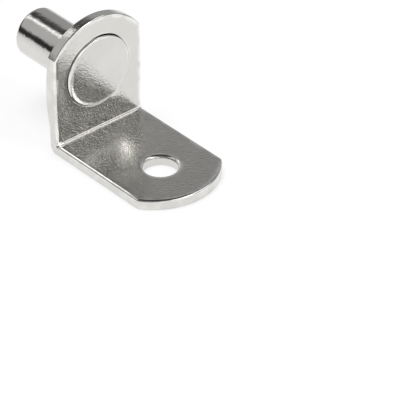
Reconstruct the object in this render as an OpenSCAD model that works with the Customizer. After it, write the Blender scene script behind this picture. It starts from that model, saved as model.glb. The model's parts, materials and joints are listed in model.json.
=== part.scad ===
// Shelf support pin: a folded steel bracket with a headed pin pressed through its upright plate.
// Frame: the origin is on the pin's axis at the plate's wall face. +Y runs along the pin into the
// cabinet side, -Y points into the cupboard along the shelf leg, and +Z is up.

/* [Bracket] */
// Width of the folded strip
strip_w = 12.7; // [12:0.1:13.6]
// Thickness of the sheet
sheet_t = 1.25; // [1:0.05:1.8]
// Height of the domed top above the pin's axis
plate_rise = 7.05; // [6.8:0.05:9]
// Drop from the pin's axis to the seat face of the leg
seat_drop = 7.7; // [7:0.1:11]
// Reach of the leg's domed end from the wall face
leg_reach = 18.75; // [17.5:0.05:26]
// Radius of both domed ends
end_r = 7.8; // [7.6:0.05:8.6]
// Inside radius of the fold
fold_r = 0.5; // [0.3:0.05:0.8]
// Outside radius of the fold, struck sharper than the bend alone leaves it
fold_outer_r = 1; // [0.6:0.05:1.4]
// Radius rolled onto the edges of the seat side by the blanking punch
edge_r = 0.22; // [0.1:0.01:0.3]

/* [Edge swell] */
// How far pressing the pin in has spread each side of the plate, at its wall face
swell = 0.4; // [0.2:0.05:0.5]
// Height of the spread stretch of each side
swell_h = 9.4; // [7:0.1:9.8]
// Drop from the pin's axis to the middle of the spread stretch
swell_drop = 1; // [0.6:0.1:1.3]

/* [Screw hole] */
// Diameter of the screw hole in the leg
screw_hole_d = 4.1; // [3.5:0.1:5.5]
// Distance of the screw hole's axis from the wall face
screw_hole_reach = 12.1; // [8:0.1:13]
// Radius rolled onto the hole's upper edge
hole_lip_r = 0.35; // [0.1:0.05:0.45]

/* [Pin] */
// Diameter of the pin's shank, for a 1/4 in (6.35 mm) shelf hole
pin_d = 6.2; // [5.6:0.1:6.9]
// Length of the pin beyond the wall face
pin_len = 10.4; // [7:0.1:16]
// Radius on the pin's tip
tip_r = 0.6; // [0.3:0.05:1]
// Diameter of the pin's head
head_d = 9; // [8.4:0.1:10]
// How far the head stands proud of the plate
head_proud = 0.25; // [0.1:0.05:0.6]
// How deep the head is pressed into the plate
head_sunk = 0.5; // [0.3:0.05:0.6]
// Radius on the head's front edge
head_edge_r = 0.2; // [0.05:0.05:0.3]
// Diameter of the neck that passes through the plate, smaller than the shank by its shoulder
neck_d = 5; // [4:0.1:5.2]
// How deep the shank's shoulder is pressed into the wall face
shoulder_sunk = 0.1; // [0.05:0.05:0.15]
// Gap left around the pin in the plate
pin_gap = 0.02; // [0.01:0.01:0.05]

/* [Hidden] */
$fn = 96;
nickel = [0.80, 0.79, 0.77];
bright_nickel = [0.72, 0.72, 0.73];
half_w = strip_w / 2;
pin_r = pin_d / 2;
head_r = head_d / 2;
neck_r = neck_d / 2;
screw_hole_r = screw_hole_d / 2;
leg_under = -seat_drop - sheet_t;
fold_y = -sheet_t - fold_r;
fold_z = -seat_drop + fold_r;
// How far a cutter runs past the face that it cuts
past = 1;

// Section of the strip: x across it, y through the sheet from its outer face to its seat side
module strip_section() {
    translate([-half_w, 0]) square([strip_w, sheet_t - edge_r]);
    translate([edge_r - half_w, 0]) square([strip_w - 2 * edge_r, sheet_t]);
    for (side = [-1, 1])
        translate([side * (half_w - edge_r), sheet_t - edge_r]) circle(edge_r);
}

// Sweeps a section of the strip along +Y, lying on its outer face
module sweep_along(len) {
    rotate([90, 0, 0]) translate([0, 0, -len]) linear_extrude(len) children();
}

// The disc that trims a domed end, with the edge of its seat side rolled
module end_disc() {
    rotate_extrude() {
        square([end_r, sheet_t - edge_r]);
        square([end_r - edge_r, sheet_t]);
        translate([end_r - edge_r, sheet_t - edge_r]) circle(edge_r);
    }
}

// A flat stretch of strip from the fold line at y = 0 to its domed end at y = len.
// Its children are metal added to its sides before the end is trimmed.
module domed_strip(len) {
    intersection() {
        union() {
            sweep_along(len) strip_section();
            children();
        }
        union() {
            translate([0, len - end_r, 0]) end_disc();
            translate([-strip_w, 0, 0]) cube([2 * strip_w, len - end_r, sheet_t]);
        }
    }
}

// Metal spread out of the strip's two sides, bowed along the strip and widest at the outer face
module side_swell(middle) {
    bow_r = (swell_h * swell_h / 4 + swell * swell) / (2 * swell);
    for (side = [0, 1])
        mirror([side, 0, 0]) intersection() {
            translate([0, middle - swell_h / 2, 0]) sweep_along(swell_h)
                polygon([[0, 0], [half_w + swell, 0], [half_w, sheet_t - edge_r], [0, sheet_t - edge_r]]);
            translate([half_w + swell - bow_r, middle, 0]) cylinder(h = sheet_t, r = bow_r, $fn = 360);
        }
}

// Section of the metal struck into the fold's outer corner, in Y and Z
module struck_corner_section() {
    difference() {
        union() {
            translate([fold_y, leg_under + fold_outer_r]) square([-fold_y, fold_z - leg_under - fold_outer_r]);
            translate([fold_y, leg_under]) square([-fold_y - fold_outer_r, fold_z - leg_under]);
            translate([-fold_outer_r, leg_under + fold_outer_r]) circle(fold_outer_r);
        }
        translate([fold_y, fold_z]) circle(fold_r + sheet_t / 2);
    }
}

// The folded corner between the plate and the leg
module fold() {
    translate([0, fold_y, fold_z]) rotate([-90, 0, 90])
        rotate_extrude(angle = 90) translate([fold_r + sheet_t, 0]) rotate(90) strip_section();
    translate([-half_w, 0, 0]) rotate([90, 0, 90]) linear_extrude(strip_w) struck_corner_section();
}

// The upright plate as a solid blank
module plate() {
    translate([0, 0, fold_z]) rotate([90, 0, 0])
        domed_strip(plate_rise - fold_z) side_swell(-swell_drop - fold_z);
}

// The shelf leg as a solid blank
module leg() {
    translate([0, fold_y, leg_under]) mirror([0, 1, 0]) domed_strip(leg_reach + fold_y);
}

// Cutter for the screw hole, on the seat face, with a rolled mouth
module screw_hole() {
    translate([0, 0, -sheet_t - past]) cylinder(h = sheet_t + 2 * past, r = screw_hole_r);
    rotate_extrude() difference() {
        translate([0, -hole_lip_r]) square([screw_hole_r + hole_lip_r, hole_lip_r + past]);
        translate([screw_hole_r + hole_lip_r, -hole_lip_r]) circle(hole_lip_r);
    }
}

// Cutter for the neck's hole, with a seat at each end for the shoulder and for the head
module pin_hole() {
    rotate([90, 0, 0]) {
        cylinder(h = sheet_t, r = neck_r + pin_gap);
        translate([0, 0, -past]) cylinder(h = past + shoulder_sunk, r = pin_r + pin_gap);
        translate([0, 0, sheet_t - head_sunk]) cylinder(h = head_sunk + past, r = head_r + pin_gap);
    }
}

module bracket() {
    color(nickel) difference() {
        union() {
            plate();
            fold();
            leg();
        }
        translate([0, -screw_hole_reach, -seat_drop]) screw_hole();
        pin_hole();
    }
}

// Half section of a round bar from y = 0 to y = len, with its far edge rounded
module rounded_bar_section(radius, len, edge) {
    square([radius, len - edge]);
    square([radius - edge, len]);
    translate([radius - edge, len - edge]) circle(edge);
}

module pin() {
    color(bright_nickel) rotate([-90, 0, 0]) rotate_extrude() {
        translate([0, head_sunk - sheet_t]) mirror([0, 1])
            rounded_bar_section(head_r, head_sunk + head_proud, head_edge_r);
        translate([0, head_sunk - sheet_t]) square([neck_r, sheet_t - head_sunk]);
        translate([0, -shoulder_sunk]) rounded_bar_section(pin_r, pin_len + shoulder_sunk, tip_r);
    }
}

bracket();
pin();
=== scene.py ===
"""A shelf support pin: a folded, domed bracket and the headed pin pressed through it."""

import json  # noqa: E402
import math  # noqa: E402

import bmesh  # noqa: E402
import bpy  # noqa: E402
import numpy as np  # noqa: E402
from bpy.props import (  # noqa: E402
    FloatProperty,
    FloatVectorProperty,
    PointerProperty,
)
from mathutils import Matrix, Vector  # noqa: E402


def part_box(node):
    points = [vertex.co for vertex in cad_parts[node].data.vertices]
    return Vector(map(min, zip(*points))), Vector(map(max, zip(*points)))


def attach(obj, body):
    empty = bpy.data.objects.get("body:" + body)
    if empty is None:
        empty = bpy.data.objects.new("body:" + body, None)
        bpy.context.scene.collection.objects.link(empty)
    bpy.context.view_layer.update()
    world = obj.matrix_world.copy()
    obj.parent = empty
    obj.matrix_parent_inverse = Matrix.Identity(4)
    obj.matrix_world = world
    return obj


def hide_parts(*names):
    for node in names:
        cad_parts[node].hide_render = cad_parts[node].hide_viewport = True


bl_info = {
    "name": "Shelf support pin",
    "version": (1, 0, 0),
    "blender": (4, 5, 0),
    "location": "3D View > Sidebar > Shelf Pin",
    "description": "Builds a folded shelf support bracket with its pressed-in pin",
    "category": "Add Mesh",
}

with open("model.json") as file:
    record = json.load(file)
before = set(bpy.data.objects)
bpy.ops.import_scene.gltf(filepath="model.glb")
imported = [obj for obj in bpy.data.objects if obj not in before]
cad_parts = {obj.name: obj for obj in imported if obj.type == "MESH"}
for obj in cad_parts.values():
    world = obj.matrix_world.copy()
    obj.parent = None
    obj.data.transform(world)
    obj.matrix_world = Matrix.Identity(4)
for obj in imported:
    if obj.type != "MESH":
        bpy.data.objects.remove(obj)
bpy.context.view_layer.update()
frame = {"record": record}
MM = 0.001


def mount(name):
    """The record's mount of that name."""
    return next(m for m in frame["record"]["mounts"] if m["name"] == name)


BRACKET_LOW, BRACKET_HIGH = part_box("bracket")
PIN_LOW, PIN_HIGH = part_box("pin")
SEAT_Z = mount("shelf_seat")["pos_m"][2]
HOLE_Y = mount("screw_hole")["pos_m"][1]
HOLE_R = mount("screw_hole")["dims"]["r_mm"] * MM
SHANK_R = mount("pin")["dims"]["r_mm"] * MM


def length(label, value, text):
    """A property that holds a length in metres."""
    return FloatProperty(
        name=label, description=text, default=value, unit="LENGTH", precision=5
    )


def share(label, value, text):
    """A property that holds a share from 0 to 1."""
    return FloatProperty(
        name=label, description=text, default=value, min=0.0, max=1.0, subtype="FACTOR"
    )


def colour(label, value, text):
    """A property that holds a linear colour."""
    return FloatVectorProperty(
        name=label,
        description=text,
        default=value,
        min=0.0,
        max=1.0,
        size=3,
        subtype="COLOR",
    )


class BracketSizes(bpy.types.PropertyGroup):
    """Sizes of the folded strip that its box alone doesn't tell."""

    strip_width: length("Strip width", 12.7 * MM, "Width of the strip")
    sheet: length("Sheet", SEAT_Z - BRACKET_LOW.z, "Thickness of the sheet")
    end_radius: length("End radius", 7.8 * MM, "Radius of both domed ends")
    corner_radius: length("Corner radius", 0.3 * MM, "Radius at the ends' corners")
    edge_roll: length("Edge roll", 0.29 * MM, "Width rolled onto the edges on the seat side")
    edge_drop: length("Edge drop", 0.24 * MM, "Depth of that roll")
    back_edge: length("Back edge", 0.07 * MM, "Radius left on the outer side's edges")
    fold_radius: length("Fold radius", 0.5 * MM, "Inside radius of the fold")
    fold_outer: length("Outer fold radius", 1.0 * MM, "Outside radius of the fold, struck sharp")
    fold_tuck: length("Fold tuck", 0.07 * MM, "How much tighter the inside fold is at its middle")
    end_dish: length("End dish", 0.15 * MM, "How much deeper the inside fold is at its ends")
    end_bulge: length("End bulge", 0.1 * MM, "How far the ends of the inside fold bulge")
    swell_height: length("Swell height", 9.4 * MM, "Height of the spread sides")
    swell_drop: length("Swell drop", 1.0 * MM, "Drop of the spread's middle below the pin")
    front_swell: length("Front swell", 0.1 * MM, "Spread of the sides at the front")
    hole_roll: length("Hole roll", 0.16 * MM, "Radius rolled onto the screw hole's mouth")
    hole_drag: length("Hole drag", 0.19 * MM, "How much wider the mouth is where it is dragged")
    pin_gap: length("Pin gap", 0.02 * MM, "Least gap between the pin and its seats")
    open_gap: length("Open gap", 0.11 * MM, "Further gap where the head's seat stands open")
    seat_roll: length("Seat roll", 0.07 * MM, "Radius around the head's seat")
    sink: length("Sink", 0.01 * MM, "How far the plate is drawn in around the head")
    low_sink: length("Low sink", 0.16 * MM, "How much further it is drawn in at the lower right")
    sink_width: length("Sink width", 0.48 * MM, "How far out the drawn-in ring fades")


class PinSizes(bpy.types.PropertyGroup):
    """Sizes of the turned pin that its box alone doesn't tell."""

    head_sunk: length("Head sunk", 0.5 * MM, "Depth of the head in the plate")
    head_roll: length("Head roll", 0.75 * MM, "Width of the head's rolled front edge")
    head_roll_depth: length("Head roll depth", 0.3 * MM, "Depth of the head's rolled front edge")
    tight_edge: share("Tight edge", 0.85, "How much narrower that edge is where it is tight")
    neck_radius: length("Neck radius", 2.5 * MM, "Radius of the neck in the plate")
    shoulder_sunk: length("Shoulder sunk", 0.1 * MM, "Depth of the shoulder's seat")
    tip_round: length("Tip round", 0.6 * MM, "Radius on the pin's tip")


class FinishSettings(bpy.types.PropertyGroup):
    """Colours and finish of the plated metal and of the stage."""

    nickel: colour("Nickel", (0.70, 0.69, 0.66), "Colour of the bracket's nickel")
    bright_nickel: colour("Bright nickel", (0.69, 0.68, 0.66), "Colour of the pin's nickel")
    satin: share("Satin", 0.12, "Roughness of the bracket")
    bright: share("Bright", 0.09, "Roughness of the pin")
    floor: colour("Floor", (0.93, 0.93, 0.93), "Colour of the floor")


# --- surfaces ---------------------------------------------------------------

# Points closer together than this become one
WELD_GAP = 0.2e-3 * MM

# Steps along a side, round a corner and over half a dome of the strip's ends
SIDE_STEPS = 48
CORNER_STEPS = 8
DOME_STEPS = 72
# Steps across the strip at the fold line, and through the fold
ACROSS_STEPS = 64
FOLD_STEPS = 32
# Steps round the pin
PIN_STEPS = 256
# Where the rings between a hole and the outline lie, as shares of the way
RINGS = (
    0, 0.015, 0.04, 0.08, 0.13, 0.18, 0.24, 0.3,
    0.37, 0.45, 0.55, 0.68, 0.82, 0.93, 0.98, 1,
)  # fmt: skip

# How far the lighter edges reach, partly real worn metal and partly painted highlight: down and up
# from the roll of an edge or a hole, up from the sharper outer edge, along the fold line and over
# the flat sides
ROLL_WEAR = 0.2 * MM
OUTER_WEAR = 0.12 * MM
FOLD_LINE_WEAR = 0.3 * MM
SIDE_WEAR = 0.25 * MM
# The same on the head's edge, and how far inside its side that lighter edge, worn metal and painted
# highlight, is strongest
HEAD_WEAR = 0.18 * MM
HEAD_WEAR_INSET = 0.1 * MM
# How far into the fold from its ends its dish, its bulge and its painted glint reach
DISH_REACH = 0.5 * MM
BULGE_REACH = 0.6 * MM
GLINT_REACH = 0.5 * MM
# The depth at which the head's seat no longer sinks with the plate
SINK_DEPTH = 0.3 * MM

# Stretches of the edges that differ from the rest: the middle and half width of each,
# in degrees from +X, about the hole's centre or the pin's axis. The head's seat stands
# open and the plate is drawn in further, the head's edge is left tight, and the screw
# hole's mouth is dragged.
OPEN_SEAT = ((72, 28), (168, 46))
DRAWN_IN = ((-37, 28),)
TIGHT_EDGE = ((78, 42),)
DRAGGED_MOUTH = ((-30, 80),)


def weld(grids):
    """Joins grids of (x, y, z, wear) points, given as (array, closed across).

    Each cell of a grid is a face. Points that fall together are merged, and a cell
    with a side of no length becomes a triangle.
    """
    points, cells, start = [], [], 0
    for grid, closed_across in grids:
        rows, columns = grid.shape[:2]
        index = start + np.arange(rows * columns).reshape(rows, columns)
        if closed_across:
            index = np.hstack([index, index[:, :1]])
        corners = (index[:-1, :-1], index[:-1, 1:], index[1:, 1:], index[1:, :-1])
        cells.append(np.stack([c.ravel() for c in corners], 1))
        points.append(grid.reshape(-1, 4))
        start += rows * columns
    points, cells = np.concatenate(points), np.concatenate(cells)
    keys = np.round(points[:, :3] / WELD_GAP).astype(np.int64)
    _, first, merged = np.unique(keys, axis=0, return_index=True, return_inverse=True)
    cells = merged.ravel()[cells]
    same = cells == np.roll(cells, -1, axis=1)
    quads = cells[~same.any(1)]
    thin = same.sum(1) == 1
    kept = np.argsort(same[thin], axis=1, kind="stable")[:, :3]
    triangles = np.take_along_axis(cells[thin], np.sort(kept, axis=1), axis=1)
    return points[first], quads.tolist() + triangles.tolist()


def piece(name, grids, material):
    """A smooth closed piece made of welded grids, with its faces turned outward."""
    points, faces = weld(grids)
    mesh = bpy.data.meshes.new(name)
    mesh.from_pydata(points[:, :3].tolist(), [], faces)
    # How much lighter the nickel is at each point: partly real worn metal, partly painted highlight
    wear = mesh.attributes.new("wear", "FLOAT", "POINT")
    wear.data.foreach_set("value", points[:, 3].astype(np.float32))
    shell = bmesh.new()
    shell.from_mesh(mesh)
    bmesh.ops.recalc_face_normals(shell, faces=shell.faces)
    shell.to_mesh(mesh)
    shell.free()
    mesh.polygons.foreach_set("use_smooth", np.ones(len(mesh.polygons), bool))
    mesh.materials.append(material)
    made = bpy.data.objects.new(name, mesh)
    bpy.context.scene.collection.objects.link(made)
    keep_flat = made.modifiers.new("flat faces stay flat", "WEIGHTED_NORMAL")
    keep_flat.weight = 50
    keep_flat.keep_sharp = False
    return made


def quarter_turn(steps):
    """Angles from 0 to a quarter turn, in radians."""
    return np.linspace(0, math.pi / 2, steps + 1)


def between(start, end, steps):
    """Evenly spaced values from start to end, without these two."""
    return np.linspace(start, end, steps + 1)[1:-1]


def arc(centre_u, centre_v, radius, start, end, steps):
    """Points of a circle's arc in a plane, from start to end in radians."""
    turn = np.linspace(start, end, steps + 1)
    return np.stack([centre_u + radius * np.cos(turn), centre_v + radius * np.sin(turn)], 1)


def stretches(angle, spans):
    """1 at the middle of each span of angles, and 0 outside them.

    The sum of a bell curve for each span: exp of minus the fourth power of the angle
    from its middle over its half width.
    """
    total = np.zeros_like(angle)
    for middle, width in spans:
        away = np.angle(np.exp(1j * (angle - math.radians(middle))))
        total += np.exp(-((away / math.radians(width)) ** 4))
    return total


def end_outline(half_width, reach, end_radius, corner_radius):
    """The outline of one end of the strip, and the direction outward from it.

    It runs up the right side from the fold line, round the right corner, over the
    domed end and down the left side. A corner is an arc inside both the side and the
    dome, so its centre is a corner radius inside each.
    """
    dome_centre = reach - end_radius
    corner_x = half_width - corner_radius
    corner_rise = math.sqrt((end_radius - corner_radius) ** 2 - corner_x**2)
    corner_a = dome_centre + corner_rise
    tilt = math.atan2(corner_rise, corner_x)
    heights = np.linspace(0, corner_a, SIDE_STEPS + 1)[:-1]
    side = np.stack([np.full(SIDE_STEPS, half_width), heights], 1)
    corner = arc(corner_x, corner_a, corner_radius, 0, tilt, steps=CORNER_STEPS)[:-1]
    dome = arc(0, dome_centre, end_radius, tilt, math.pi / 2, steps=DOME_STEPS)
    corner_turn = np.linspace(0, tilt, CORNER_STEPS + 1)[:-1]
    dome_turn = np.linspace(tilt, math.pi / 2, DOME_STEPS + 1)
    turn = np.concatenate([np.zeros(SIDE_STEPS), corner_turn, dome_turn])
    right = np.concatenate([side, corner, dome])
    out = np.stack([np.cos(turn), np.sin(turn)], 1)
    flip = np.array([-1.0, 1.0])
    return (
        np.concatenate([right, right[-2::-1] * flip]),
        np.concatenate([out, out[-2::-1] * flip]),
    )


def side_swell(sizes, outline, out, most, middle):
    """How far each point of the outline spreads: on the sides, a flat arc of a circle.

    The arc is as high as the swell and stands out by most at the height of its middle.
    """
    bow = (sizes.swell_height**2 / 4 + most**2) / (2 * most)
    up = outline[:, 1] - middle
    chord = np.sqrt(np.clip(bow**2 - up**2, 0, None)) - (bow - most)
    on_side = np.abs(out[:, 1]) < 1e-6
    return np.where(on_side, np.clip(chord, 0, None), 0)


def rim_profile(sizes):
    """The edge of the sheet from seat side to outer side: out, depth, spread and wear.

    A rolled edge, which goes out by sin(t) to the power 0.85 of its width while it
    drops by 1 - cos(t) of its depth, a straight wall and a quarter circle. The spread
    is how much of the outer side's swell each point takes. The lighter edge, partly
    real worn metal and partly painted highlight, is a bell curve about the roll and half
    of one about the outer edge, and stays over 0.35 from a depth of 0.1 mm on.
    """
    roll, drop, back, sheet = sizes.edge_roll, sizes.edge_drop, sizes.back_edge, sizes.sheet
    turn = quarter_turn(steps=12)
    rolled = np.stack([roll * np.sin(turn) ** 0.85 - roll, drop * (1 - np.cos(turn))], 1)
    wall_depth = between(drop, sheet - back, steps=6)
    wall = np.stack([np.zeros(len(wall_depth)), wall_depth], 1)
    turn = quarter_turn(steps=4)
    burr = np.stack([back * np.cos(turn) - back, sheet - back + back * np.sin(turn)], 1)
    path = np.concatenate([rolled, wall, burr])
    depth = path[:, 1]
    spread = np.clip((depth - drop) / (sheet - drop), 0, 1)
    # Lighter nickel about the roll and the outer edge: worn metal and painted highlight
    worn_roll = np.exp(-((depth - rolled[5, 1]) ** 2) / ROLL_WEAR**2)
    worn_burr = 0.5 * np.exp(-((depth - sheet) ** 2) / OUTER_WEAR**2)
    wear = np.maximum(worn_roll + worn_burr, 0.35 * (depth > 0.1 * MM))
    return np.column_stack([path, spread, wear])


def screw_hole_profile(sizes):
    """Radius, depth, wear and flare of the screw hole: a rolled mouth, a wall and a burr.

    The flare is how much of the drag each point takes where the punch dragged the
    mouth wider. It falls as a square to nothing at 0.3 of the sheet.
    """
    roll, back, sheet = sizes.hole_roll, sizes.back_edge, sizes.sheet
    turn = quarter_turn(steps=8)
    mouth = np.stack([HOLE_R + roll - roll * np.sin(turn), roll - roll * np.cos(turn)], 1)
    wall_depth = between(roll, sheet - back, steps=10)
    wall = np.stack([np.full(len(wall_depth), HOLE_R), wall_depth], 1)
    turn = quarter_turn(steps=3)
    burr_radius = HOLE_R + back - back * np.cos(turn)
    burr = np.stack([burr_radius, sheet - back + back * np.sin(turn)], 1)
    path = np.concatenate([mouth, wall, burr])
    # Lighter nickel about the hole's mouth: worn metal and painted highlight
    wear = np.exp(-((path[:, 1] - mouth[3, 1]) ** 2) / ROLL_WEAR**2)
    flare = np.clip(1 - path[:, 1] / (0.3 * sheet), 0, 1) ** 2
    return np.column_stack([path, wear, flare])


def pin_hole_profile(sizes, pin):
    """Radius, depth, wear and looseness of the pin's hole.

    It runs down the head's seat, the neck's hole and the shoulder's seat. Only the
    head's seat is loose, which is how much of the open gap each point takes.
    """
    seat = PIN_HIGH.x + sizes.pin_gap
    roll = sizes.seat_roll
    turn = quarter_turn(steps=6)
    mouth = np.stack([seat + roll - roll * np.sin(turn), roll - roll * np.cos(turn)], 1)
    neck = pin.neck_radius + sizes.pin_gap
    shoulder = SHANK_R + sizes.pin_gap
    shoulder_depth = sizes.sheet - pin.shoulder_sunk
    inner = np.array(
        [
            (seat, pin.head_sunk),
            (neck, pin.head_sunk),
            (neck, shoulder_depth),
            (shoulder, shoulder_depth),
            (shoulder, sizes.sheet),
        ]
    )
    path = np.concatenate([mouth, inner])
    row = np.arange(len(path))
    # Lighter nickel on the seat's mouth: worn metal and painted highlight
    wear = np.where(row < len(mouth), 0.6, 0.0)
    loose = np.where(row <= len(mouth), 1.0, 0.0)
    return np.column_stack([path, wear, loose])


def edge_strip(outline, out, rim, back_swell, front_swell):
    """The edge's profile carried along the outline, as a grid."""
    share_of_back = rim[:, 2]
    offset = (
        rim[None, :, 0]
        + back_swell[:, None] * share_of_back[None]
        + front_swell[:, None] * (1 - share_of_back[None])
    )
    strip = np.empty((len(outline), len(rim), 4))
    strip[..., :2] = outline[:, None] + out[:, None] * offset[..., None]
    strip[..., 2] = rim[None, :, 1]
    strip[..., 3] = rim[None, :, 3]
    return strip


def closed_loop(line):
    """A line of the edge strip, from right to left, closed along the fold line.

    The points on the fold line crowd towards its ends, as 1 - cos(t) does.
    """
    right, left = line[0], line[-1]
    turn = between(0, math.pi, steps=ACROSS_STEPS)
    across = left[0] + (right[0] - left[0]) * (1 - np.cos(turn)) / 2
    from_end = np.minimum(across - left[0], right[0] - across)
    fold_line = np.zeros((len(across), 4))
    fold_line[:, 0] = across
    fold_line[:, 2] = right[2]
    fold_line[:, 3] = right[3] * np.exp(-from_end / FOLD_LINE_WEAR)
    return np.concatenate([line, fold_line])


def hole_wall(angle, centre, hole, uneven, depth):
    """The hole's profile turned about its centre, as a grid with a column for each angle.

    Uneven widens it by the profile's fourth column, and depth sinks its upper part.
    """
    wall = np.empty((len(hole), len(angle), 4))
    radius = hole[:, :1] + hole[:, 3:4] * uneven
    wall[..., 0] = centre[0] + radius * np.cos(angle)
    wall[..., 1] = centre[1] + radius * np.sin(angle)
    wall[..., 2] = hole[:, 1:2] + depth * np.clip(1 - hole[:, 1:2] / SINK_DEPTH, 0, 1)
    wall[..., 3] = hole[:, 2:3]
    return wall


def flat_side(inner, outer):
    """Rings of straight lines from a hole's rim to the outline, as a grid.

    The lighter edge of both rims, worn metal and painted highlight, fades exponentially.
    Returned with the distance of each point from the hole.
    """
    way = np.array(RINGS)[:, None, None]
    grid = inner[None] * (1 - way) + outer[None] * way
    from_outline = np.linalg.norm(grid[..., :2] - outer[None, :, :2], axis=-1)
    from_hole = np.linalg.norm(grid[..., :2] - inner[None, :, :2], axis=-1)
    outline_wear = outer[None, :, 3] * np.exp(-from_outline / SIDE_WEAR)
    hole_wear = inner[None, :, 3] * np.exp(-from_hole / SIDE_WEAR)
    grid[..., 3] = outline_wear + hole_wear
    return grid, from_hole


def closed_end(ends, rim, swells, centre, hole, uneven, sink=None):
    """One end of the strip as grids in (across, along, depth, wear).

    Ends is the outline and its outward directions, and swells how far its outer side
    and its front spread. Uneven gives the hole's widening for an angle. A sink (depth
    for an angle, width) draws the seat side in around the hole. It falls off as exp of
    minus the distance from the hole over the width, to the power 1.3, and reaches
    nothing at the outline. Returns the grids and the loop at the fold line.
    """
    outline, out = ends
    edge = edge_strip(outline, out, rim, *swells)
    front, back = closed_loop(edge[:, 0]), closed_loop(edge[:, -1])
    middle = np.concatenate([outline, front[len(outline) :, :2]])
    angle = np.arctan2(middle[:, 1] - centre[1], middle[:, 0] - centre[0])
    depth = sink[0](angle) if sink else np.zeros_like(angle)
    wall = hole_wall(angle, centre, hole, uneven(angle), depth)
    seat_side, from_hole = flat_side(wall[0], front)
    outer_side, _ = flat_side(wall[-1], back)
    if sink:
        to_outline = 1 - np.array(RINGS)[:, None] ** 2
        seat_side[..., 2] = depth * (to_outline * np.exp(-((from_hole / sink[1]) ** 1.3)))
    grids = [(seat_side, True), (outer_side, True), (edge, False), (wall, True)]
    left = len(outline) - 1
    loop = [front[left:], edge[0, :-1], back[:1], back[:left:-1], edge[-1, :0:-1]]
    return grids, np.concatenate(loop)


def outer_fold(sizes, turn):
    """Distance of the fold's outer side from the fold's axis: two flats and an arc between."""
    across, along = np.cos(turn), np.sin(turn)
    flat = sizes.fold_radius + sizes.sheet
    inset = flat - sizes.fold_outer
    lean = inset * (across + along)
    rounded = lean + np.sqrt(lean**2 - 2 * inset**2 + sizes.fold_outer**2)
    by_plate = flat / np.maximum(across, 1e-9)
    by_leg = flat / np.maximum(along, 1e-9)
    past_plate = np.where(across * flat <= inset * along, by_leg, rounded)
    return np.where(along * flat <= inset * across, by_plate, past_plate)


def fold_grid(sizes, loop, fold_y, fold_z):
    """The fold: the loop at the fold line turned a quarter about the fold's axis.

    A point's radius runs in step with its depth from the inside radius to the outer
    side. The inside is tucked further into the corner, and more at its ends, where it
    also bulges sideways. All three go with the square of sin(2t), so they are nothing
    at the plate and at the leg. Near the plate, most at the ends, its inside gets
    lighter nickel as a painted glint in the crease.
    """
    across, depth = loop[None, :, 0], loop[None, :, 2]
    from_end = sizes.strip_width / 2 - np.abs(across)
    turn = quarter_turn(steps=FOLD_STEPS)[:, None]
    corner = np.sin(2 * turn) ** 2
    sheet = sizes.sheet

    radius = sizes.fold_radius + (outer_fold(sizes, turn) - sizes.fold_radius) * depth / sheet
    dish = sizes.end_dish * np.exp(-((from_end / DISH_REACH) ** 1.5))
    dish = (sizes.fold_tuck + dish) * corner
    radius = radius + dish * np.clip(1 - depth / (0.6 * sheet), 0, 1)

    bulge = sizes.end_bulge * corner * np.exp(-from_end / BULGE_REACH)
    bulge = bulge * np.exp(-((depth / (0.35 * sheet)) ** 2))

    # bright: a painted glint, lighter and smoother nickel in the crease near the plate, strongest
    # at its ends
    bright = np.exp(-((depth / (0.1 * sheet)) ** 2)) * np.exp(-(((turn - 0.35) / 0.4) ** 2))
    bright = bright * (0.2 + 0.8 * np.exp(-from_end / GLINT_REACH))
    return np.stack(
        np.broadcast_arrays(
            across + np.sign(across) * bulge,
            fold_y + radius * np.cos(turn),
            fold_z - radius * np.sin(turn),
            np.maximum(loop[None, :, 3], bright),
        ),
        -1,
    )


def bracket_grids(sizes, pin):
    """The whole bracket: an upright end, a leg end and the fold between them."""
    half_width = sizes.strip_width / 2
    fold_y = -sizes.sheet - sizes.fold_radius
    fold_z = SEAT_Z + sizes.fold_radius
    rim = rim_profile(sizes)

    rise = BRACKET_HIGH.z - fold_z
    ends = end_outline(half_width, rise, sizes.end_radius, sizes.corner_radius)
    most = BRACKET_HIGH.x - half_width
    swell = side_swell(sizes, *ends, most, -sizes.swell_drop - fold_z)
    plate, loop = closed_end(
        ends,
        rim,
        (swell, swell * sizes.front_swell / most),
        (0, -fold_z),
        pin_hole_profile(sizes, pin),
        lambda angle: sizes.open_gap * stretches(angle, OPEN_SEAT),
        (
            lambda angle: sizes.sink + sizes.low_sink * stretches(angle, DRAWN_IN),
            sizes.sink_width,
        ),
    )

    reach = -BRACKET_LOW.y + fold_y
    ends = end_outline(half_width, reach, sizes.end_radius, sizes.corner_radius)
    straight = np.zeros(len(ends[0]))
    leg, _ = closed_end(
        ends,
        rim,
        (straight, straight),
        (0, fold_y - HOLE_Y),
        screw_hole_profile(sizes),
        lambda angle: sizes.hole_drag * stretches(angle, DRAGGED_MOUTH),
    )

    def upright(grid):
        """Across, along and depth become x, height above the fold and distance to the wall face."""
        across, along, depth, wear = np.moveaxis(grid, -1, 0)
        return np.stack([across, depth - sizes.sheet, fold_z + along, wear], -1)

    def lying(grid):
        """Across, along and depth become x, distance from the fold and drop below the seat."""
        across, along, depth, wear = np.moveaxis(grid, -1, 0)
        return np.stack([across, fold_y - along, SEAT_Z - depth, wear], -1)

    fold = fold_grid(sizes, loop, fold_y, fold_z)
    plate = [(upright(grid), closed) for grid, closed in plate]
    leg = [(lying(grid), closed) for grid, closed in leg]
    return plate + leg + [(fold, True)]


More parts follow.
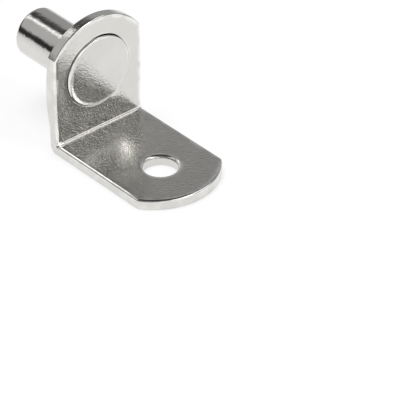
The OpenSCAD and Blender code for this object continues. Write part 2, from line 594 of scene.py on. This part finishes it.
def pin_grid(sizes):
    """The pin: its half section, turned once about the Y axis.

    The section runs from the middle of the head's face, round the head's rolled edge,
    down the head's side and the neck, out over the shoulder and along the shank to the
    rounded tip and the middle of the tip. The head's edge drops by 1 - cos(t) of its
    depth while it goes out by sin(t) to the power 0.8 of its width, and it is narrower
    where it is left tight.
    """
    head = PIN_HIGH.x
    front = PIN_LOW.y
    tip = sizes.tip_round
    under_head = sizes.head_sunk - (SEAT_Z - BRACKET_LOW.z)
    turn = np.linspace(0, 2 * math.pi, PIN_STEPS, endpoint=False)

    roll = sizes.head_roll * (1 - sizes.tight_edge * stretches(turn, TIGHT_EDGE))
    flat = np.linspace(0, 1, 16)[:-1, None] * (head - roll)
    edge_turn = quarter_turn(steps=20)
    edge = head - roll * (1 - np.sin(edge_turn)[:, None] ** 0.8)
    edge_depth = sizes.head_roll_depth * (1 - np.cos(edge_turn))
    face_depth = np.concatenate([np.zeros(len(flat)), edge_depth]) + front

    inside = np.array(
        [
            (head, under_head),
            (sizes.neck_radius, under_head),
            (sizes.neck_radius, -sizes.shoulder_sunk),
            (SHANK_R, -sizes.shoulder_sunk),
        ]
    )
    along = np.linspace(0, PIN_HIGH.y - tip, 25)[:-1]
    shank = np.stack([np.full(len(along), SHANK_R), along], 1)
    nose = arc(SHANK_R - tip, PIN_HIGH.y - tip, tip, 0, math.pi / 2, steps=13)
    inward = np.linspace(SHANK_R - tip, 0, 8)[1:]
    end = np.stack([inward, np.full(len(inward), PIN_HIGH.y)], 1)
    body = np.concatenate([inside, shank, nose, end])

    body_radius = np.broadcast_to(body[:, :1], (len(body), len(turn)))
    radius = np.concatenate([flat, edge, body_radius])
    depth = np.concatenate([face_depth, body[:, 1]])[:, None]
    # The head's rolled edge gets lighter nickel: partly real worn metal, partly painted highlight
    wear = np.exp(-(((radius - head + HEAD_WEAR_INSET) / HEAD_WEAR) ** 2))
    wear = np.where(depth < front + sizes.head_roll_depth, wear, 0)
    x, z = radius * np.cos(turn), radius * np.sin(turn)
    return [(np.stack(np.broadcast_arrays(x, depth, z, wear), -1), True)]


# --- materials --------------------------------------------------------------


class Nodes:
    """A small helper that adds and joins shader nodes."""

    def __init__(self, owner):
        owner.use_nodes = True
        self.tree = owner.node_tree
        self.tree.nodes.clear()

    def add(self, kind, inputs=None, **settings):
        """Adds a node. An input's value is a number, a colour, or a socket to join."""
        node = self.tree.nodes.new(kind)
        for key, value in settings.items():
            setattr(node, key, value)
        for key, value in (inputs or {}).items():
            socket = node.inputs[key]
            if isinstance(value, bpy.types.NodeSocket):
                self.tree.links.new(value, socket)
            else:
                socket.default_value = value
        return node

    def math(self, operation, first, second=0.0, third=0.0):
        """A Math node's result."""
        return self.add(
            "ShaderNodeMath", {0: first, 1: second, 2: third}, operation=operation
        ).outputs[0]

    def mix(self, factor, first, second):
        """A mix of two colours, each a socket or three numbers."""
        ends = [c if isinstance(c, bpy.types.NodeSocket) else (*c, 1.0) for c in (first, second)]
        return self.add(
            "ShaderNodeMix", {0: factor, 6: ends[0], 7: ends[1]}, data_type="RGBA"
        ).outputs[2]

    def noise(self, where, scale, detail=2.0, roughness=0.5):
        """Noise from 0 to 1, with scale features in a millimetre."""
        return self.add(
            "ShaderNodeTexNoise",
            {"Vector": where, "Scale": scale / MM, "Detail": detail, "Roughness": roughness},
        ).outputs["Fac"]

    def ramp(self, value, low, high, to_low, to_high, smooth=True):
        """Maps value from one range to another, smoothly."""
        return self.add(
            "ShaderNodeMapRange",
            {0: value, 1: low, 2: high, 3: to_low, 4: to_high},
            interpolation_type="SMOOTHSTEP" if smooth else "LINEAR",
        ).outputs[0]

    def bump(self, height, distance, normal=None):
        """A normal bumped by a height from 0 to 1, over a distance in metres."""
        inputs = {"Strength": 1.0, "Distance": distance, "Height": height}
        if normal is not None:
            inputs["Normal"] = normal
        return self.add("ShaderNodeBump", inputs).outputs[0]


# Features in a millimetre of the slow wander, of the clouds in the worn, painted highlight and of
# the orange peel
SLOW_SCALE = 0.35
WEAR_SCALE = 0.7
PEEL_SCALE = 1.1
# Where most values of the slow wander lie
SLOW_SPAN = (0.3, 0.7)
# Lighter nickel on edges, mouths and the fold's crease: partly real worn metal, partly painted
# highlight
WORN_SHEEN_NICKEL = (0.87, 0.865, 0.85)
# On the shank: the share of the grain and the specks that is left, how many times
# higher the peel is, and the distance along Y over which both change
SHANK_GRAIN = 0.4
SHANK_PEEL = 3.6
SHANK_BLEND = 0.3 * MM


def plated(name, base, roughness, grain, peel, grain_scale, speck, shank_from=None):
    """Nickel plate: metal with a fine grain, a slow waviness and edges worn smooth and lighter,
    partly real worn metal and partly painted highlight.

    Grain and peel are the heights of two bumps in millimetres: a fine one, and a slower
    orange peel. Roughness wanders with a slow noise, rises by speck in small specks and
    falls where wear is high, where the colour also turns lighter as painted
    highlight on top of worn metal. Where Y is beyond shank_from, grain and specks are
    weaker and the peel is stronger.
    """
    material = bpy.data.materials.new(name)
    n = Nodes(material)
    where = n.add("ShaderNodeTexCoord").outputs["Object"]
    slow = n.noise(where, SLOW_SCALE, 3.0)
    # Where the nickel is smoother and lighter: partly real worn metal, partly painted highlight
    edges = n.add("ShaderNodeAttribute", attribute_name="wear").outputs["Fac"]
    clouds = n.ramp(n.noise(where, WEAR_SCALE, 3.0), 0.35, 0.62, 0.4, 1.0)
    wear = n.math("MULTIPLY", edges, clouds)

    grain_height = n.math("MULTIPLY", n.ramp(wear, 0.0, 0.6, 1.0, 0.1), grain * MM)
    peel_height = peel * MM
    specks = n.ramp(n.noise(where, grain_scale * 1.15, 1.0), 0.5, 0.68, 0.0, speck)
    if shank_from is not None:
        y = n.add("ShaderNodeSeparateXYZ", {0: where}).outputs[1]
        shank_full = shank_from + SHANK_BLEND
        calm = n.ramp(y, shank_from, shank_full, 1.0, SHANK_GRAIN)
        grain_height = n.math("MULTIPLY", grain_height, calm)
        specks = n.math("MULTIPLY", specks, calm)
        peel_height = n.ramp(y, shank_from, shank_full, peel_height, SHANK_PEEL * peel_height)

    rough = n.ramp(slow, *SLOW_SPAN, roughness * 0.85, roughness * 1.2)
    rough = n.math("ADD", rough, specks)
    rough = n.math("MULTIPLY", rough, n.ramp(wear, 0.0, 1.0, 1.0, 0.5))
    darker = [c * 0.965 for c in base]
    lighter = [min(1.0, c * 1.02) for c in base]
    tint = n.mix(n.ramp(slow, *SLOW_SPAN, 0.0, 1.0), darker, lighter)
    # Painted highlight over worn metal: the colour turns lighter where wear is high
    tint = n.mix(n.ramp(wear, 0.1, 0.9, 0.0, 1.0), tint, WORN_SHEEN_NICKEL)
    normal = n.bump(n.noise(where, PEEL_SCALE, 2.0), peel_height)
    normal = n.bump(n.noise(where, grain_scale, 1.0), grain_height, normal)
    shader = n.add(
        "ShaderNodeBsdfPrincipled",
        {"Base Color": tint, "Metallic": 1.0, "Roughness": rough, "Normal": normal},
    )
    n.add("ShaderNodeOutputMaterial", {"Surface": shader.outputs[0]})
    return material


# How much of the floor, as the eye and the metal see it, is plain white light. In the
# metal that light falls by FLOOR_FALL between FLOOR_NEAR and FLOOR_FAR from the origin.
FLOOR_GLOW = 0.7
FLOOR_NEAR = 0.03
FLOOR_FAR = 0.25
FLOOR_FALL = 0.5


def floor_material(base):
    """A pale floor that keeps its shadows, and shows white to the eye and in metal."""
    material = bpy.data.materials.new("pale floor")
    n = Nodes(material)
    path = n.add("ShaderNodeLightPath").outputs
    seen = n.math("ADD", path["Is Camera Ray"], path["Is Glossy Ray"])
    seen = n.math("ADD", seen, path["Is Transmission Ray"])
    seen = n.math("MINIMUM", seen, 1.0)
    diffuse = n.add("ShaderNodeBsdfDiffuse", {"Color": (*base, 1.0)}).outputs[0]
    where = n.add("ShaderNodeTexCoord").outputs["Object"]
    away = n.add("ShaderNodeVectorMath", {0: where}, operation="LENGTH").outputs["Value"]
    fall = n.ramp(away, FLOOR_NEAR, FLOOR_FAR, 0.0, 1.0, smooth=False)
    fall = n.math("POWER", fall, 0.6)
    lit = n.math("MULTIPLY_ADD", fall, -FLOOR_FALL, 1.0)
    lit = n.math("MAXIMUM", lit, path["Is Camera Ray"])
    white = n.add("ShaderNodeEmission", {"Color": (1, 1, 1, 1), "Strength": lit}).outputs[0]
    glow = n.math("MULTIPLY", seen, FLOOR_GLOW)
    mixed = n.add("ShaderNodeMixShader", {0: glow, 1: diffuse, 2: white})
    n.add("ShaderNodeOutputMaterial", {"Surface": mixed.outputs[0]})
    return material


# Patches of light and shade round the room, each over those before it. Each has the
# azimuth of its middle, from +Y towards +X, its half width and its softness, then its
# lowest and highest elevation and their softness, all in degrees, and its brightness.
# Ahead is +Y, and right is +X.
ROOM = (
    ((0, 181, 1), (63, 95, 3), 0.05),  # dark ceiling
    ((-38, 41, 4), (21, 62, 3), 0.55),  # soft wall ahead on the left
    ((-9, 6, 2), (27, 60, 3), 1.35),  # strip light in its right half
    ((-41, 39, 6), (0.5, 19, 2.5), 0.03),  # dark skirting below it
    ((42, 39, 5), (39, 66, 5), 0.065),  # dark upper wall ahead on the right
    ((170, 50, 8), (-10, 14, 4), 1.5),  # bright band low behind
    ((238, 46, 6), (11, 64, 4), 0.24),  # shaded wall behind on the left
    ((181, 29, 6), (14, 45, 4), 0.85),  # bright wall behind
    ((104, 30, 6), (44, 62, 4), 1.3),  # high window on the right
    ((160, 24, 4), (42.5, 60, 2), 1.6),  # high window behind on the right
    ((158, 9, 3), (37, 52, 3), 5.0),  # lamp at the foot of that window
    ((140, 12, 3), (24, 39.5, 2), 0.11),  # dark screen below the lamp's right
)
ROOM_GREY = 0.385


def make_room():
    """White to the eye; for light and reflections a grey room with soft patches."""
    world = bpy.data.worlds.new("studio")
    bpy.context.scene.world = world
    n = Nodes(world)
    way = n.add("ShaderNodeSeparateXYZ", {0: n.add("ShaderNodeTexCoord").outputs["Generated"]})
    x, y, z = way.outputs
    azimuth = n.math("DEGREES", n.math("ARCTAN2", x, y))
    elevation = n.math("DEGREES", n.math("ARCSINE", z))
    level = n.add("ShaderNodeValue").outputs[0]
    level.default_value = ROOM_GREY

    def band(value, low, high, soft):
        """1 between low and high, falling to 0 over soft on either side."""
        rise = n.ramp(value, low - soft, low + soft, 0.0, 1.0)
        fall = n.ramp(value, high - soft, high + soft, 1.0, 0.0)
        return n.math("MULTIPLY", rise, fall)

    for (middle, half, soft), high, brightness in ROOM:
        turned = n.math("WRAP", n.math("SUBTRACT", azimuth, middle), 180.0, -180.0)
        across = band(turned, -half, half, soft)
        mask = n.math("MULTIPLY", across, band(elevation, *high))
        change = n.math("SUBTRACT", brightness, level)
        level = n.math("MULTIPLY_ADD", mask, change, level)
    room = n.add("ShaderNodeBackground", {"Color": (1, 1, 1, 1), "Strength": level})
    eye = n.add("ShaderNodeBackground", {"Color": (1, 1, 1, 1), "Strength": 1.0})
    path = n.add("ShaderNodeLightPath").outputs
    mixed = n.add(
        "ShaderNodeMixShader", {0: path["Is Camera Ray"], 1: room.outputs[0], 2: eye.outputs[0]}
    )
    n.add("ShaderNodeOutputWorld", {"Surface": mixed.outputs[0]})


# --- stage ------------------------------------------------------------------

# Lengths in metres, the lamp's power in watts and the lens in millimetres
FLOOR_REACH = 3.0
FLOOR_GAP = 0.005 * MM

LAMP_PLACE = (-0.1, 0.15, 0.9)
LAMP_SIZE = 0.6
LAMP_POWER = 6.5

CAMERA_PLACE = (-173.839 * MM, -215.476 * MM, 176.203 * MM)
CAMERA_VIEW = (0.54249, 0.60915, -0.57848)
CAMERA_ROLL = math.radians(0.3056)
CAMERA_LENS = 246.38


def make_floor(base):
    """A wide flat floor just under the leg."""
    level = BRACKET_LOW.z - FLOOR_GAP
    signs = ((-1, -1), (1, -1), (1, 1), (-1, 1))
    corners = [(FLOOR_REACH * x, FLOOR_REACH * y, level) for x, y in signs]
    mesh = bpy.data.meshes.new("floor")
    mesh.from_pydata(corners, [], [(0, 1, 2, 3)])
    mesh.materials.append(floor_material(base))
    floor = bpy.data.objects.new("floor", mesh)
    bpy.context.scene.collection.objects.link(floor)


def make_lamp(name, place, size, power):
    """A soft square lamp that looks at the object. Metal mirrors the room and not the lamp."""
    data = bpy.data.lights.new(name, "AREA")
    data.shape = "SQUARE"
    data.size = size
    data.energy = power
    lamp = bpy.data.objects.new(name, data)
    lamp.location = place
    lamp.rotation_euler = (-Vector(place)).to_track_quat("-Z", "Y").to_euler()
    lamp.visible_glossy = False
    bpy.context.scene.collection.objects.link(lamp)


def make_camera():
    """The camera, looking along its view and rolled a little about it."""
    ahead = Vector(CAMERA_VIEW).normalized()
    right = ahead.cross(Vector((0, 0, 1))).normalized()
    up = right.cross(ahead)
    across = right * math.cos(CAMERA_ROLL) + up * math.sin(CAMERA_ROLL)
    above = up * math.cos(CAMERA_ROLL) - right * math.sin(CAMERA_ROLL)
    data = bpy.data.cameras.new("camera")
    data.lens = CAMERA_LENS
    data.sensor_width = 36.0
    data.clip_start = 0.01
    data.clip_end = 20.0
    camera = bpy.data.objects.new("camera", data)
    turned = Matrix((across, above, -ahead)).transposed().to_4x4()
    turned.translation = Vector(CAMERA_PLACE)
    camera.matrix_world = turned
    bpy.context.scene.collection.objects.link(camera)
    bpy.context.scene.camera = camera


# --- operators --------------------------------------------------------------


class SHELFPIN_OT_bracket(bpy.types.Operator):
    """Build the folded bracket"""

    bl_idname = "shelfpin.bracket"
    bl_label = "Bracket"

    def execute(self, context):
        scene = context.scene
        finish = scene.shelfpin_finish
        nickel = plated(
            "satin nickel",
            finish.nickel,
            finish.satin,
            grain=0.025,
            peel=0.009,
            grain_scale=5.2,
            speck=0.11,
        )
        grids = bracket_grids(scene.shelfpin_bracket, scene.shelfpin_pin)
        bracket = piece("folded_bracket", grids, nickel)
        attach(bracket, "root")
        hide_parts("bracket")
        return {"FINISHED"}


class SHELFPIN_OT_pin(bpy.types.Operator):
    """Build the headed pin"""

    bl_idname = "shelfpin.pin"
    bl_label = "Pin"

    def execute(self, context):
        scene = context.scene
        finish = scene.shelfpin_finish
        bright = plated(
            "bright nickel",
            finish.bright_nickel,
            finish.bright,
            grain=0.021,
            peel=0.008,
            grain_scale=5.6,
            speck=0.09,
            shank_from=-0.9 * MM,
        )
        pin = piece("headed_pin", pin_grid(scene.shelfpin_pin), bright)
        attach(pin, "root")
        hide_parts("pin")
        return {"FINISHED"}


class SHELFPIN_OT_stage(bpy.types.Operator):
    """Set up the floor, the room, the lamp and the camera"""

    bl_idname = "shelfpin.stage"
    bl_label = "Stage"

    def execute(self, context):
        scene = context.scene
        scene.view_settings.view_transform = "Standard"
        make_floor(scene.shelfpin_finish.floor)
        make_room()
        make_lamp("overhead lamp", LAMP_PLACE, LAMP_SIZE, LAMP_POWER)
        make_camera()
        return {"FINISHED"}


class SHELFPIN_PT_panel(bpy.types.Panel):
    """The shelf pin's pieces and their sizes"""

    bl_idname = "SHELFPIN_PT_panel"
    bl_label = "Shelf support pin"
    bl_space_type = "VIEW_3D"
    bl_region_type = "UI"
    bl_category = "Shelf Pin"

    def draw(self, context):
        for name in GROUPS:
            group = getattr(context.scene, name)
            box = self.layout.box()
            for key in group.__annotations__:
                box.prop(group, key)
        for operator in OPERATORS:
            self.layout.operator(operator.bl_idname)


GROUPS = {
    "shelfpin_bracket": BracketSizes,
    "shelfpin_pin": PinSizes,
    "shelfpin_finish": FinishSettings,
}
OPERATORS = (SHELFPIN_OT_bracket, SHELFPIN_OT_pin, SHELFPIN_OT_stage)
CLASSES = (*GROUPS.values(), *OPERATORS, SHELFPIN_PT_panel)


def register():
    """Registers the classes and hangs the settings on the scene."""
    for made in CLASSES:
        bpy.utils.register_class(made)
    for name, group in GROUPS.items():
        setattr(bpy.types.Scene, name, PointerProperty(type=group))


def unregister():
    """Takes away what register() added."""
    for name in GROUPS:
        delattr(bpy.types.Scene, name)
    for made in reversed(CLASSES):
        bpy.utils.unregister_class(made)


def main():
    register()
    bpy.ops.shelfpin.bracket()
    bpy.ops.shelfpin.pin()
    bpy.ops.shelfpin.stage()


if __name__ == "__main__":
    main()
